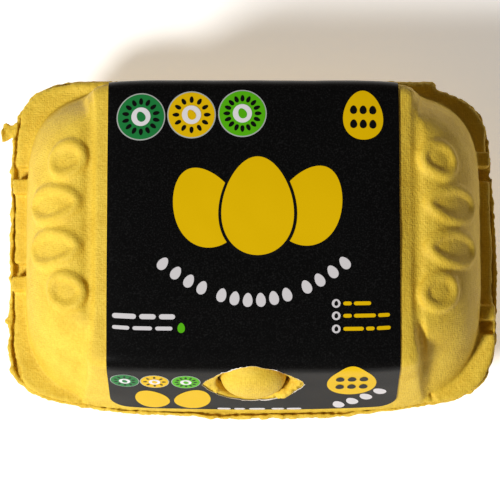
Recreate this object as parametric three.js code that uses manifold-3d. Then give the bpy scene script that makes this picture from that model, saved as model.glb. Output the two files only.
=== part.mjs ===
// Shut moulded-pulp carton for six eggs, with a printed paper label round the lid.
// Millimetres, +Z up, +X to the right along the long side, the latch at the front, on -Y.
// The origin is the centre of the carton's footprint, on the surface that it stands on.
// The carton is shut, so tray and lid are solid pieces that meet at the flange.

import * as THREE from 'three';
import { mergeVertices } from 'three/addons/utils/BufferGeometryUtils.js';
import Module from 'manifold-3d';

const wasm = await Module();
wasm.setup();

// Driving sizes
const LENGTH = 152.8;
const WIDTH = 106.8;
const HEIGHT = 70.5;

// Flanges, where the lid meets the tray
const LIP = 1.2;
const FLANGE_THICKNESS = 1.7;
const PARTING_GAP = 0.3;
const LID_FLANGE_TOP = 38.2;
const LID_BOTTOM = LID_FLANGE_TOP - FLANGE_THICKNESS;
const TRAY_TOP = LID_BOTTOM - PARTING_GAP;
const FLANGE_BACK = 52.9;
const FLANGE_POWER = 6.3;
const FLANGE_SEGMENTS = 96;
const FRONT_CORNERS = { drawnIn: 0.06, from: 18, to: 56 };

// Hinge: a bead along the back edge of both flanges
const HINGE = { halfLength: 58, radius: 2.2 };

// Central block of the lid, under the label
const BLOCK = {
  halfLength: 49.3,
  frontFoot: -50.95,
  frontFold: -39.95,
  backFold: 47.65,
  backFoot: 50.05,
  foldHeight: 67.6,
  frontRound: 3,
  backRound: 4,
  crownStart: 0.6,
  crownFront: -13,
  crownBack: 19,
  frontDraft: 1,
  backDraft: 0.4,
  sideSpread: 5.5,
  frontBow: 1.6,
};
const BLOCK_SHOULDER_DROP = 2;
const BLOCK_SHOULDER_POWER = 8;
const BLOCK_ROUND_IN = 2.2;
const BLOCK_ROUND_FROM = 30;
const BLOCK_STATIONS = [-1, -0.96, -0.9, -0.8, -0.6, -0.3, 0, 0.3, 0.6, 0.8, 0.9, 0.96, 1];

// Domes at the two ends of the lid
const DOME = {
  foot: LID_FLANGE_TOP,
  rise: 29.2,
  halfTop: 50,
  halfFoot: 70.8,
  frontFoot: 50.05,
  frontSlope: 0.62,
  backFoot: 49.9,
  backSlope: 0.32,
  power: 4.4,
  backPower: 6.8,
};
const DOME_RINGS = 11;
const DOME_SEGMENTS = 72;

// Groove between block and dome
const GROOVE = { x: 50.2, radius: 2.2, depth: 1 };

// Raised egg outlines on the domes
const EMBOSS = {
  pitch: 13.4,
  middle: 3.45,
  halfWidth: 4.7,
  taper: 0.14,
  tube: 1.6,
  relief: -0.5,
  inner: { low: 0.62, high: 1.4 },
  outer: { low: 0.98, high: 1.46 },
};

// Latch: a window in the front wall, with the tray's domed button in it
const LATCH = {
  height: 57,
  windowHalfWidth: 11.9,
  windowHalfHeight: 10.9,
  windowDepth: 7,
  windowReach: 6,
  buttonRadius: 10.1,
  buttonRise: 2.8,
  tongueHalfWidth: 10.5,
  tongueBelowEdge: 1.5,
  tongueDepth: 4.2,
  tongueThickness: 2.2,
  tongueLength: 23,
  slotLength: 30,
  clearance: 0.6,
};

const BUTTON_BACK_SHARE = 0.12;
const BUTTON_SUNK = 0.8;
const BUTTON_POWER = 3;

// Lugs and slots on the end flanges
const LUG = { length: 4.4, width: 4.8, height: 2.1, fromEdge: 0.1 };
const SLOT = { length: 4, width: 3.4, inward: 0.2, reach: 1.6 };
const LUG_PLACES = [[1, 27.65], [1, -20.55], [-1, 19.25], [-1, -11.35]];

// Cups of the tray
const CUP = {
  pitchX: 46.2,
  pitchY: 46,
  flat: 14.5,
  rim: 23.5,
  power: 3.2,
};
const CUP_PROFILE = [[TRAY_TOP - 0.8, 1], [28, 0.975], [18, 0.93], [9, 0.85], [3.5, 0.765], [1, 0.68]];
const CUP_SEGMENTS = 40;
const WEB = { bottom: 19, top: TRAY_TOP - 0.5, halfLength: 58, halfWidth: 32, flare: 6, power: 5 };
const WEB_SEGMENTS = 48;
const POST = { top: 31, footRadius: 9, topRadius: 5 };

// Label
const LABEL = {
  halfWidth: 44,
  gap: 0.3,
  thickness: 0.4,
  aboveFoot: 2,
  cornerRadius: 6,
};
const LABEL_STATIONS = [-1, -0.94, -0.85, -0.65, -0.35, 0, 0.35, 0.65, 0.85, 0.94, 1];
const LABEL_WINDOW = { halfWidth: 15.6, halfHeight: 11.1, pull: 0.62, depth: 2 };

// Materials
const PULP = { color: 0xdcbe48, roughness: 0.95, metalness: 0 };
const PAPER = { color: 0x161616, roughness: 0.45, metalness: 0 };

// Small helpers
const at = (x, y, z) => new THREE.Vector3(x, y, z);

const powerOf = (value, power) => Math.sign(value) * Math.abs(value) ** power;

const smooth = (low, high, value) => THREE.MathUtils.smoothstep(value, low, high);

// Closed solid from a geometry
function solid(geometry) {
  geometry.deleteAttribute('normal');
  geometry.deleteAttribute('uv');
  const merged = mergeVertices(geometry, 1e-5);
  return new wasm.Manifold(new wasm.Mesh({
    numProp: 3,
    vertProperties: new Float32Array(merged.getAttribute('position').array),
    triVerts: new Uint32Array(merged.index.array),
  }));
}

const joined = (first, ...others) => others.reduce((whole, part) => whole.add(part), first);

const cut = (first, ...others) => others.reduce((whole, part) => whole.subtract(part), first);

// Closed skin over a row of loops, with a fan at each end. Loops run anticlockwise, seen from the first.
function skin(loops) {
  const sides = loops[0].length;
  const middle = (loop) => [loop.reduce((sum, point) => sum.add(point), at(0, 0, 0)).divideScalar(sides)];
  const rows = [middle(loops[0]), ...loops, middle(loops[loops.length - 1])];
  const geometry = new THREE.SphereGeometry(1, sides, rows.length - 1);
  const position = geometry.getAttribute('position');
  rows.forEach((row, r) => {
    for (let c = 0; c <= sides; c++) {
      const point = row[c % row.length];
      position.setXYZ(r * (sides + 1) + c, point.x, point.y, point.z);
    }
  });
  return solid(geometry);
}

// Loop of a superellipse at one height, with its own half width at the front and at the back
function superLoop(halfLength, front, back, power, z, segments, backPower = power) {
  return Array.from({ length: segments }, (_, i) => {
    const angle = (2 * Math.PI * i) / segments;
    const inFront = Math.sin(angle) < 0;
    const bend = 2 / (inFront ? power : backPower);
    const half = inFront ? front : back;
    return at(halfLength * powerOf(Math.cos(angle), bend), half * powerOf(Math.sin(angle), bend), z);
  });
}

// Flange plate: nearly a rectangle, with the front corners drawn in
function flange(inset, bottom, top) {
  const { drawnIn, from, to } = FRONT_CORNERS;
  const size = [LENGTH / 2 - inset, WIDTH / 2 - inset, FLANGE_BACK - inset];
  const loopAt = (z) => superLoop(...size, FLANGE_POWER, z, FLANGE_SEGMENTS).map((point) => {
    const share = point.y < 0 ? drawnIn * smooth(from, to, Math.abs(point.x)) : 0;
    return at(point.x, point.y * (1 - share), point.z);
  });
  return skin([loopAt(top), loopAt(bottom)]);
}

// Round bar along the back edge, where lid and tray hang together
function hinge() {
  const bar = new THREE.CapsuleGeometry(HINGE.radius, 2 * (HINGE.halfLength - HINGE.radius), 6, 16);
  bar.rotateZ(Math.PI / 2);
  bar.translate(0, WIDTH / 2 - HINGE.radius, (LID_BOTTOM + TRAY_TOP) / 2);
  return solid(bar);
}

// Section of the central block in the YZ plane, from the front foot over the top to the back foot
function blockSection() {
  const { frontFoot, frontFold, backFold, backFoot, foldHeight, frontRound, backRound } = BLOCK;
  const crown = foldHeight + BLOCK.crownStart;
  const pull = (4 / 3) * (HEIGHT - crown);
  const path = new THREE.Path();
  path.moveTo(frontFoot, LID_FLANGE_TOP);
  path.lineTo(frontFold - BLOCK.frontDraft, foldHeight - frontRound);
  path.quadraticCurveTo(frontFold, foldHeight, frontFold + frontRound, crown);
  path.bezierCurveTo(BLOCK.crownFront, crown + pull, BLOCK.crownBack, crown + pull, backFold - backRound, crown);
  path.quadraticCurveTo(backFold, foldHeight, backFold + BLOCK.backDraft, foldHeight - backRound);
  path.lineTo(backFoot, LID_FLANGE_TOP);
  return path.getPoints(8);
}

const shareUp = (z) => (z - LID_FLANGE_TOP) / (HEIGHT - LID_FLANGE_TOP);

const blockHalf = (z) => BLOCK.halfLength + BLOCK.sideSpread * (1 - shareUp(z));

// Point of the block's surface over a section point, at a share of the block's half length
function blockPoint(point, share) {
  const up = shareUp(point.y);
  const shoulder = Math.abs(share) ** BLOCK_SHOULDER_POWER;
  const x = share * blockHalf(point.y);
  const bow = point.x < 0 ? BLOCK.frontBow * share ** 2 * (1 - up) : 0;
  const roundIn = BLOCK_ROUND_IN * shoulder * THREE.MathUtils.clamp(point.x / BLOCK_ROUND_FROM, -1, 1);
  return at(x, point.x + bow - roundIn, point.y - BLOCK_SHOULDER_DROP * shoulder * up);
}

function block() {
  const section = blockSection().reverse();
  return skin([...BLOCK_STATIONS].reverse().map((share) => {
    const over = section.map((point) => blockPoint(point, share));
    const front = over[over.length - 1];
    const back = over[0];
    return [at(front.x, front.y, LID_BOTTOM), at(back.x, back.y, LID_BOTTOM), ...over];
  }));
}

// Size of the domes at an angle of their elliptical end profile, 0 at the foot and a right angle at the top
function domeAt(angle) {
  const up = DOME.rise * Math.sin(angle);
  return {
    z: DOME.foot + up,
    half: DOME.halfTop + (DOME.halfFoot - DOME.halfTop) * Math.cos(angle),
    front: DOME.frontFoot - DOME.frontSlope * up,
    back: DOME.backFoot - DOME.backSlope * up,
  };
}

function domes() {
  const loops = Array.from({ length: DOME_RINGS }, (_, i) => {
    const size = domeAt((Math.PI / 2) * (1 - i / (DOME_RINGS - 1)));
    return superLoop(size.half, size.front, size.back, DOME.power, size.z, DOME_SEGMENTS, DOME.backPower);
  });
  const foot = loops[loops.length - 1].map((point) => at(point.x, point.y, LID_BOTTOM));
  return skin([...loops, foot]);
}

// Groove cutter: a bent round bar along the line where block and dome meet
function groove(side) {
  const lift = GROOVE.radius - GROOVE.depth;
  const top = DOME.foot + DOME.rise + lift;
  const path = new THREE.CatmullRomCurve3([
    at(side * (GROOVE.x + 5.4), -48, 37),
    at(side * (GROOVE.x + 3.4), -41, 49),
    at(side * (GROOVE.x + 1.8), -35, 59),
    at(side * (GROOVE.x + 0.6), -28.5, top - 2.6),
    at(side * GROOVE.x, -20, top),
    at(side * GROOVE.x, 5, top + 0.4),
    at(side * GROOVE.x, 31, top),
    at(side * (GROOVE.x + 0.8), 42, top - 2.4),
    at(side * (GROOVE.x + 2.4), 49, 54),
    at(side * (GROOVE.x + 4), 55, 40),
  ]);
  const ring = new THREE.Shape().absarc(0, 0, GROOVE.radius, 0, 2 * Math.PI);
  return solid(new THREE.ExtrudeGeometry(ring, { steps: 26, curveSegments: 5, bevelEnabled: false, extrudePath: path }));
}

// Point of a dome's end face, by the angle of its profile and its place along Y
function domeFace(side, angle, y) {
  const size = domeAt(angle);
  const half = y < 0 ? size.front : size.back;
  const power = y < 0 ? DOME.power : DOME.backPower;
  const x = size.half * (1 - Math.abs(y / half) ** power) ** (1 / power);
  return at(side * x, y, size.z);
}

// Raised egg outline that follows the dome's curve
function eggRing(side, place, low, high) {
  const around = 22;
  const across = 6;
  const geometry = new THREE.TorusGeometry(1, 0.3, across, around);
  const position = geometry.getAttribute('position');
  const middle = (low + high) / 2;
  const reach = (high - low) / 2;
  const centre = EMBOSS.middle + side * place * EMBOSS.pitch;
  const lineAt = (turn) => {
    const width = EMBOSS.halfWidth * (1 - EMBOSS.taper * Math.sin(turn));
    return domeFace(side, middle + reach * Math.sin(turn), centre + side * width * Math.cos(turn));
  };
  const step = 0.02;
  for (let i = 0; i <= around; i++) {
    const turn = (2 * Math.PI * (i % around)) / around;
    const along = lineAt(turn + step).sub(lineAt(turn - step)).normalize();
    const spot = lineAt(turn);
    const slope = middle + reach * Math.sin(turn);
    const normal = domeFace(side, slope + step, spot.y).sub(domeFace(side, slope - step, spot.y))
      .cross(at(0, side, 0)).negate().normalize();
    const out = along.clone().cross(normal).normalize();
    for (let j = 0; j <= across; j++) {
      const roll = (2 * Math.PI * (j % across)) / across;
      const point = spot.clone()
        .addScaledVector(out, EMBOSS.tube * Math.cos(roll))
        .addScaledVector(normal, EMBOSS.relief + EMBOSS.tube * Math.sin(roll));
      position.setXYZ(j * (around + 1) + i, point.x, point.y, point.z);
    }
  }
  return solid(geometry);
}

// Four outlines on each end: the outer two short, near the top, the inner two long
function embossing(side) {
  const rings = [-1.5, -0.5, 0.5, 1.5].map((place) => {
    const { low, high } = Math.abs(place) < 1 ? EMBOSS.inner : EMBOSS.outer;
    return eggRing(side, place, low, high);
  });
  return joined(...rings);
}

// Moves a solid's geometry onto the front wall: X across, Y up the wall, Z out of it
function onFrontWall(geometry) {
  const lean = Math.atan2(BLOCK.frontFold - BLOCK.frontFoot, BLOCK.foldHeight - LID_FLANGE_TOP);
  const y = BLOCK.frontFoot + (LATCH.height - LID_FLANGE_TOP) * Math.tan(lean);
  geometry.rotateX(Math.PI / 2 - lean);
  geometry.translate(0, y, LATCH.height);
  return solid(geometry);
}

// Plate behind the window, reaching down through the lid's flange
function tongueSlab(grow, foot) {
  const top = LATCH.windowHalfHeight - LATCH.tongueBelowEdge + grow;
  const height = top + foot;
  const slab = new THREE.BoxGeometry(2 * (LATCH.tongueHalfWidth + grow), height, LATCH.tongueThickness + 2 * grow);
  slab.translate(0, top - height / 2, -LATCH.tongueDepth - LATCH.tongueThickness / 2);
  return onFrontWall(slab);
}

// Domed button with a full profile, flat behind
function button(grow) {
  const dome = new THREE.SphereGeometry(1, 28, 14);
  dome.rotateX(Math.PI / 2);
  const position = dome.getAttribute('position');
  for (let i = 0; i < position.count; i++) {
    const spot = new THREE.Vector3().fromBufferAttribute(position, i);
    const wide = Math.hypot(spot.x, spot.y);
    const fuller = (wide ** BUTTON_POWER + Math.abs(spot.z) ** BUTTON_POWER) ** (-1 / BUTTON_POWER);
    spot.multiplyScalar(fuller);
    position.setXYZ(i, spot.x, spot.y, spot.z < 0 ? spot.z * BUTTON_BACK_SHARE : spot.z);
  }
  const radius = LATCH.buttonRadius + grow;
  const depth = LATCH.tongueDepth + BUTTON_SUNK;
  dome.scale(radius, radius, LATCH.buttonRise + depth + grow);
  dome.translate(0, 0, -depth);
  return onFrontWall(dome);
}

// Round hole in the lid's front wall
function latchWindow() {
  const { windowDepth: depth, windowReach: reach } = LATCH;
  const hole = new THREE.CylinderGeometry(1, 1, depth + reach, 40);
  hole.rotateX(Math.PI / 2);
  hole.scale(LATCH.windowHalfWidth, LATCH.windowHalfHeight, 1);
  hole.translate(0, 0, (reach - depth) / 2);
  return onFrontWall(hole);
}

// Pointed window of the label, wider than the lid's hole
function labelWindow() {
  const { halfWidth, halfHeight, pull, depth } = LABEL_WINDOW;
  const bulge = (4 / 3) * halfHeight;
  const side = pull * halfWidth;
  const outline = new THREE.Shape();
  outline.moveTo(halfWidth, 0);
  outline.bezierCurveTo(side, bulge, -side, bulge, -halfWidth, 0);
  outline.bezierCurveTo(-side, -bulge, side, -bulge, halfWidth, 0);
  const bar = new THREE.ExtrudeGeometry(outline, {
    depth: LATCH.windowReach + depth, bevelEnabled: false, curveSegments: 18,
  });
  bar.translate(0, 0, -depth);
  return onFrontWall(bar);
}

// Small boxes on the end flanges
function box(lengthX, widthY, bottom, top, x, y) {
  const geometry = new THREE.BoxGeometry(lengthX, widthY, top - bottom);
  geometry.translate(x, y, (top + bottom) / 2);
  return solid(geometry);
}

function lid() {
  const plate = flange(LIP, LID_BOTTOM, LID_FLANGE_TOP);
  const lugX = LENGTH / 2 - LIP - LUG.length / 2 - LUG.fromEdge;
  const lugs = LUG_PLACES.map(([side, y]) => box(
    LUG.length, LUG.width, LID_BOTTOM, LID_FLANGE_TOP + LUG.height, side * lugX, y,
  ));
  const slots = LUG_PLACES.map(([side, y]) => box(
    SLOT.length, SLOT.width, LID_BOTTOM - SLOT.reach, LID_FLANGE_TOP + SLOT.reach,
    side * (lugX - SLOT.inward), y - side * (LUG.width + SLOT.width) / 2,
  ));
  const shell = cut(joined(block(), domes()), groove(1), groove(-1));
  const bead = hinge().trimByPlane([0, 0, 1], LID_BOTTOM);
  const bossed = joined(shell, embossing(1), embossing(-1), plate, bead, ...lugs);
  const latchRoom = [latchWindow(), tongueSlab(LATCH.clearance, LATCH.slotLength), button(LATCH.clearance)];
  return cut(bossed, ...slots, ...latchRoom);
}

// One cup of the tray: a rounded square with a flat foot, widening to the flange
function cup(x, y) {
  const loops = CUP_PROFILE.map(([z, share]) => superLoop(
    CUP.rim * share, CUP.rim * share, CUP.rim * share, CUP.power, z, CUP_SEGMENTS,
  ));
  loops.push(superLoop(CUP.flat, CUP.flat, CUP.flat, CUP.power, 0, CUP_SEGMENTS));
  return skin(loops.map((loop) => loop.map((point) => point.add(at(x, y, 0)))));
}

function tray() {
  const plate = flange(0, TRAY_TOP - FLANGE_THICKNESS, TRAY_TOP);
  const cups = [-1, 0, 1].flatMap((column) => [-0.5, 0.5].map((row) => cup(column * CUP.pitchX, row * CUP.pitchY)));
  const webLoop = (grow, z) => {
    const half = WEB.halfWidth + grow;
    return superLoop(WEB.halfLength + grow, half, half, WEB.power, z, WEB_SEGMENTS);
  };
  const web = skin([webLoop(WEB.flare, WEB.top), webLoop(0, WEB.bottom)]);
  const posts = [-0.5, 0.5].map((column) => {
    const cone = new THREE.CylinderGeometry(POST.topRadius, POST.footRadius, POST.top + 1, 24);
    cone.rotateX(Math.PI / 2);
    cone.translate(column * CUP.pitchX, 0, (POST.top - 1) / 2);
    return solid(cone);
  });
  const bead = hinge().trimByPlane([0, 0, -1], -TRAY_TOP);
  const body = cut(joined(plate, bead, web, ...cups), ...posts);
  return joined(body, tongueSlab(0, LATCH.tongueLength), button(0));
}

// Outward direction of the block's surface over a section, at a share of its half length
function blockNormal(before, after, share) {
  const step = 0.01;
  const along = blockPoint(after, share).sub(blockPoint(before, share));
  const middle = before.clone().lerp(after, 0.5);
  const across = blockPoint(middle, share + step).sub(blockPoint(middle, share - step));
  return across.cross(along).normalize();
}

// Rows of the label along the section: each a place on it, and how far the front's round corners cut in
function labelRows(section) {
  const { cornerRadius: radius, aboveFoot } = LABEL;
  const wall = section[1].clone().sub(section[0]);
  const cornerRows = [0, 0.08, 0.3, 0.6, 1].map((share) => {
    const cutIn = radius * (1 - Math.sqrt(1 - (1 - share) ** 2));
    return { point: section[0].clone().addScaledVector(wall, (aboveFoot + share * radius) / wall.length()), cutIn };
  });
  const backWall = section[section.length - 1].clone().sub(section[section.length - 2]);
  const lastShare = 1 - aboveFoot / backWall.length();
  const last = section[section.length - 2].clone().addScaledVector(backWall, lastShare);
  const overRows = [...section.slice(1, -1), last].map((point) => ({ point, cutIn: 0 }));
  return [...cornerRows, ...overRows];
}

// The label: a thin sheet over the front wall, the top and the back wall, with a hole for the latch
function label() {
  const rows = labelRows(blockSection());
  const loops = rows.map(({ point, cutIn }, i) => {
    const before = rows[Math.max(i - 1, 0)].point;
    const after = rows[Math.min(i + 1, rows.length - 1)].point;
    const edge = (LABEL.halfWidth - cutIn) / blockHalf(point.y);
    const layer = (offset) => LABEL_STATIONS.map((station) => blockPoint(point, station * edge)
      .addScaledVector(blockNormal(before, after, station * edge), offset));
    return [...layer(LABEL.gap + LABEL.thickness), ...layer(LABEL.gap).reverse()];
  });
  return cut(skin(loops.reverse()), labelWindow());
}

// Colours and names
function mesh(name, part, look) {
  const { vertProperties, triVerts, numProp } = part.getMesh();
  const geometry = new THREE.BufferGeometry();
  const points = new Float32Array((vertProperties.length / numProp) * 3);
  for (let i = 0; i < points.length / 3; i++) {
    points.set(vertProperties.subarray(i * numProp, i * numProp + 3), i * 3);
  }
  geometry.setAttribute('position', new THREE.BufferAttribute(points, 3));
  geometry.setIndex(new THREE.BufferAttribute(new Uint32Array(triVerts), 1));
  geometry.computeVertexNormals();
  const made = new THREE.Mesh(geometry, new THREE.MeshStandardMaterial(look));
  made.name = name;
  return made;
}

const carton = new THREE.Group();
carton.add(mesh('tray', tray(), PULP));
carton.add(mesh('lid', lid(), PULP));
carton.add(mesh('label', label(), PAPER));

export default carton;
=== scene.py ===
"""Looks of a shut moulded-pulp egg carton with a printed paper label round its lid.

Pulp pieces are the zero surfaces of distance fields, in millimetres, on a fine grid.
The label and its print are sheets mapped onto the lid's field. Blender's units are metres.
"""

import math

import bpy
import numpy as np
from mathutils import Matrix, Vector
from mathutils.geometry import delaunay_2d_cdt


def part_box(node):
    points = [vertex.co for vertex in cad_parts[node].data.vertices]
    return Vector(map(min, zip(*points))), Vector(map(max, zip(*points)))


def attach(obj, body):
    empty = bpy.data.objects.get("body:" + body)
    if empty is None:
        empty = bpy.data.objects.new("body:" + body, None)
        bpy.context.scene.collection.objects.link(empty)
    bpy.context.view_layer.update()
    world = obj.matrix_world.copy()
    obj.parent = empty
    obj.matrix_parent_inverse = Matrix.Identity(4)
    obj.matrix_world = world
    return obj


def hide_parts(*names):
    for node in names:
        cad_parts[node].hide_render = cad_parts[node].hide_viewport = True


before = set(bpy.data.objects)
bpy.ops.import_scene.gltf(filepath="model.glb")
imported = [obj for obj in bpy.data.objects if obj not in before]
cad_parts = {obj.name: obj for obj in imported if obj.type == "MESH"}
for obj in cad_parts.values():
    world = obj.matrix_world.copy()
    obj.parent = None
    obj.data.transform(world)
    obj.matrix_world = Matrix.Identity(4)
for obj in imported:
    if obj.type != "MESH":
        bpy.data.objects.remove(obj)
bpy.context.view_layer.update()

MM = 0.001
TRAY_BOX = [np.array(corner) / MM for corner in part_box("tray")]
LID_BOX = [np.array(corner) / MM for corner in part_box("lid")]

# Flanges
HALF_LENGTH = TRAY_BOX[1][0]
HALF_WIDTH = TRAY_BOX[1][1]
LIP = HALF_LENGTH - LID_BOX[1][0]
LID_BOTTOM = LID_BOX[0][2]
HEIGHT = LID_BOX[1][2]
FLANGE_THICKNESS = 1.7
FLANGE_TOP = LID_BOTTOM + FLANGE_THICKNESS
TRAY_TOP = LID_BOTTOM - 0.3
FLANGE_BACK = 52.9
FRONT_INSET = 1.3
CORNER_OUT = 1.1
LIP_RISE = 0.6
LIP_WIDTH = 1.0
LIP_BACK = 44
RING_INSIDE = (60, 35.5)
FURROW_WIDTH = 1.8
FURROW_DEPTH = 0.9
FLANGE_POWER = 6.3
FRONT_CORNERS_IN = 0.06
FRONT_CORNERS_RUN = (18, 38)
HINGE_HALF = 58
HINGE_RADIUS = 2.2

# Where the flange's corners start, and the run to their full effect
CORNER_ALONG = (43.2, 12)
CORNER_RIGHT_FRONT = (15.6, 6)
CORNER_RIGHT_BACK = (31.8, 6)
CORNER_LEFT = (38, 5)

# Central block of the lid
BLOCK_HALF = 49.3
BLOCK_SPREAD = 5.5
FRONT_FOOT = -50.95
FRONT_FOLD = -39.95
BACK_FOLD = 47.65
BACK_FOOT = 50.05
FOLD_HEIGHT = 67.6
CROWN_RISE = 0.6
FRONT_ROUND = 3
BACK_ROUND = 4
FRONT_BOW = 1.6
SHOULDER_DROP = 2
SHOULDER_POWER = 8
SHOULDER_IN = 2.2
ROUND_FROM = 30
SAG = {"x": 43.5, "run": 6, "y": 9, "reach": 24, "depth": 2.4}
FRONT_LEAN = (FRONT_FOLD - FRONT_FOOT) / (FOLD_HEIGHT - FLANGE_TOP)
BACK_LEAN = (BACK_FOOT - BACK_FOLD) / (FOLD_HEIGHT - FLANGE_TOP)

# End domes of the lid
DOME_RISE = 29.2
DOME_HALF_TOP = 50
DOME_HALF_FOOT = 70.8
DOME_FRONT_FOOT = 50.05
DOME_FRONT_SLOPE = 0.62
DOME_BACK_FOOT = 50.6
DOME_BACK_SLOPE = 0.32
DOME_POWER = 4.4
DOME_BACK_POWER = 5.1

# Groove, embossing, lugs
GROOVE_X = 50.2
GROOVE_RADIUS = 2.2
GROOVE_DEPTH = 1.0
FRONT_GROOVE_LIFT = 1.6
VALLEY = ((50.6, -24.5, 68.2), (51.0, -30.4, 62.6), (52.0, -36.0, 56.2), (52.7, -39.6, 52.0),
          (53.4, -43.2, 49.4))
VALLEY_RADIUS = 1.2
EMBOSS_PITCH = 13.4
EMBOSS_MIDDLE = 3.45
EMBOSS_HALF_WIDTH = 4.7
EMBOSS_TUBE = 1.6
EMBOSS_SUNK = 0.5
EMBOSS_TAPER = 0.14
EMBOSS_ANGLE = 1.0
LUG_SIZE = (4.4, 4.8, 3.2)
SLOT_SIZE = (4.4, 4.0)
PIT_DEPTH = 1.3
LUG_X = HALF_LENGTH - LIP - LUG_SIZE[0] / 2 - 0.1
LUG_PLACES = ((1, 27.65), (1, -20.55), (-1, 19.25), (-1, -11.35))

# Bulges and dips of the moulded edge: middle, reach and size
WANDER = (((-67, 48), 8, 2.1), ((-73, -38), 7, 1.0), ((76, 31), 13, -1.2), ((-48, -51), 7, 0.5),
          ((-59, 54), 6, 1.5), ((-24, -53), 6, -0.6))

# Torn bits of the left edge, with how far each sticks out, and cracks of the lid's flange
NIBS = (((-77.2, 24.8), 0.9), ((-77.2, -22.8), 1.3), ((-75.8, -38.2), 1.0), ((-77, 11), 0.5),
        ((-77, -9), 0.5))
NIB_REACH = 0.8
TAB = {"y": 38.1, "half": 2.0, "reach": 3.6, "from": -75.7}
CRACKS = (((54.2, -44.4), (56.9, -49.4)), ((-53.1, -48.0), (-51.8, -52.5)))
TEAR = (-75.1, -21.6)

# Latch on the front wall
LATCH_HEIGHT = 57
WINDOW_HALF = (11.4, 10.9)
WINDOW_DEPTH = 7
BUTTON_RADIUS = 10.1
BUTTON_RISE = 2.8
BUTTON_POWER = 3
TONGUE_HALF = 10.5
TONGUE_DEPTH = 4.2
TONGUE_THICKNESS = 2.2
LATCH_CLEARANCE = 0.6

# Torn lumps and a pit at the latch: across, up the wall, out of it, and radius
LUMPS = ((9.4, -6.2, 0.2, 1.5), (11.3, -4.9, 0.3, 1.1), (12.9, -2.9, 0.2, 0.8), (7.8, -7.5, 0.1, 1.3),
         (5.9, -8.8, 0.1, 0.9), (13.6, -0.6, 0.1, 0.8), (-13.6, -0.9, 0.1, 0.7), (-11.2, -4.9, 0.1, 0.7))
PIT = (11.7, 0.9, -0.4, 1.6)

# Cups of the tray
CUP_PITCH = (46.2, 46.0)
CUP_RIM = 23.5
CUP_POWER = 3.2
CUP_HEIGHTS = (0, 1, 3.5, 9, 18, 28, 36)
CUP_SHARES = (0.617, 0.68, 0.765, 0.85, 0.93, 0.975, 1.0)
WEB_BOTTOM = 19
WEB_POWER = 5
HOLLOW_FOOT = 9
HOLLOW_DRAFT = 4
HOLLOW_TOP = 31
FOOT_CLEARANCE = 0.03

# Grids
LID_STEP = 0.5
CUPS_STEP = 0.8
RIM_STEP = 0.45
LATCH_STEP = 0.45


class Grid:
    """Points of a box at even steps, as three arrays that broadcast against each other."""

    def __init__(self, low, high, step):
        self.low = np.array(low, float)
        self.step = step
        counts = np.ceil((np.array(high) - self.low) / step).astype(int) + 1
        axes = [(self.low[i] + step * np.arange(counts[i])).astype(np.float32) for i in range(3)]
        self.x = axes[0][:, None, None]
        self.y = axes[1][None, :, None]
        self.z = axes[2][None, None, :]
        self.shape = tuple(counts)


def union(a, b, blend):
    """Two solids as one, with a fillet where they meet."""
    share = np.clip(0.5 + 0.5 * (b - a) / blend, 0, 1)
    return b + (a - b) * share - blend * share * (1 - share)


def common(a, b, blend):
    """What two solids share, with a rounded edge."""
    return -union(-a, -b, blend)


def cut(a, b, blend):
    """The first solid without the second, with a rounded edge."""
    return common(a, -b, blend)


def evened(values, step):
    """A field scaled so that its values are distances near the surface."""
    slopes = np.gradient(values, step)
    steepness = np.sqrt(sum(slope * slope for slope in slopes))
    return (values / np.maximum(steepness, 1e-3)).astype(np.float32)


def corner_share(part, corner):
    """Weight of a lattice cell's corner at places inside it."""
    weight = 1
    for axis in range(3):
        weight = weight * (part[..., axis] if corner[axis] else 1 - part[..., axis])
    return weight


def noise(points, period, seed):
    """Smooth noise from -1 to 1 at points, an array whose last axis is x, y, z."""
    side = 64
    lattice = np.random.default_rng(seed).uniform(-1, 1, (side, side, side)).astype(np.float32)
    scaled = np.asarray(points, np.float32) / period
    base = np.floor(scaled).astype(int)
    part = scaled - base
    part = part * part * (3 - 2 * part)
    total = np.zeros(scaled.shape[:-1], np.float32)
    for corner in np.ndindex(2, 2, 2):
        index = (base + corner) % side
        total += corner_share(part, corner) * lattice[index[..., 0], index[..., 1], index[..., 2]]
    return total


def tube_distance(x, y, z, line):
    """Distance to a chain of straight pieces through the points of a line."""
    nearest = None
    for start, end in zip(line[:-1], line[1:]):
        along = end - start
        offset = (x - start[0], y - start[1], z - start[2])
        reach = np.clip(sum(offset[i] * along[i] for i in range(3)) / (along @ along), 0, 1)
        gap = sum((offset[i] - reach * along[i]) ** 2 for i in range(3))
        nearest = gap if nearest is None else np.minimum(nearest, gap)
    return np.sqrt(nearest)


def smooth_line(points, count):
    """Catmull-Rom curve through points."""
    points = np.array(points, float)
    padded = np.vstack([2 * points[0] - points[1], points, 2 * points[-1] - points[-2]])
    made = []
    for i in range(len(points) - 1):
        before, start, end, after = padded[i:i + 4]
        for t in np.linspace(0, 1, count, endpoint=False):
            made.append(0.5 * (2 * start + (end - before) * t
                               + (2 * before - 5 * start + 4 * end - after) * t ** 2
                               + (3 * start - before - 3 * end + after) * t ** 3))
    made.append(points[-1])
    return np.array(made)


def rising(value, start, run):
    """Zero up to a start, rising evenly to one over a run."""
    return np.clip((value - start) / run, 0, 1)


def superellipse(across, along, power):
    """One on a superellipse, from the shares of its two half sizes."""
    return (np.abs(across) ** power + np.abs(along) ** power) ** (1 / power)


def bezier(points, count):
    """Points of a Bezier curve of any degree, without its first."""
    points = np.array(points, float)
    degree = len(points) - 1
    t = np.linspace(0, 1, count + 1)[1:, None]
    terms = [math.comb(degree, i) * t ** i * (1 - t) ** (degree - i) * points[i] for i in range(degree + 1)]
    return sum(terms)


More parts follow.
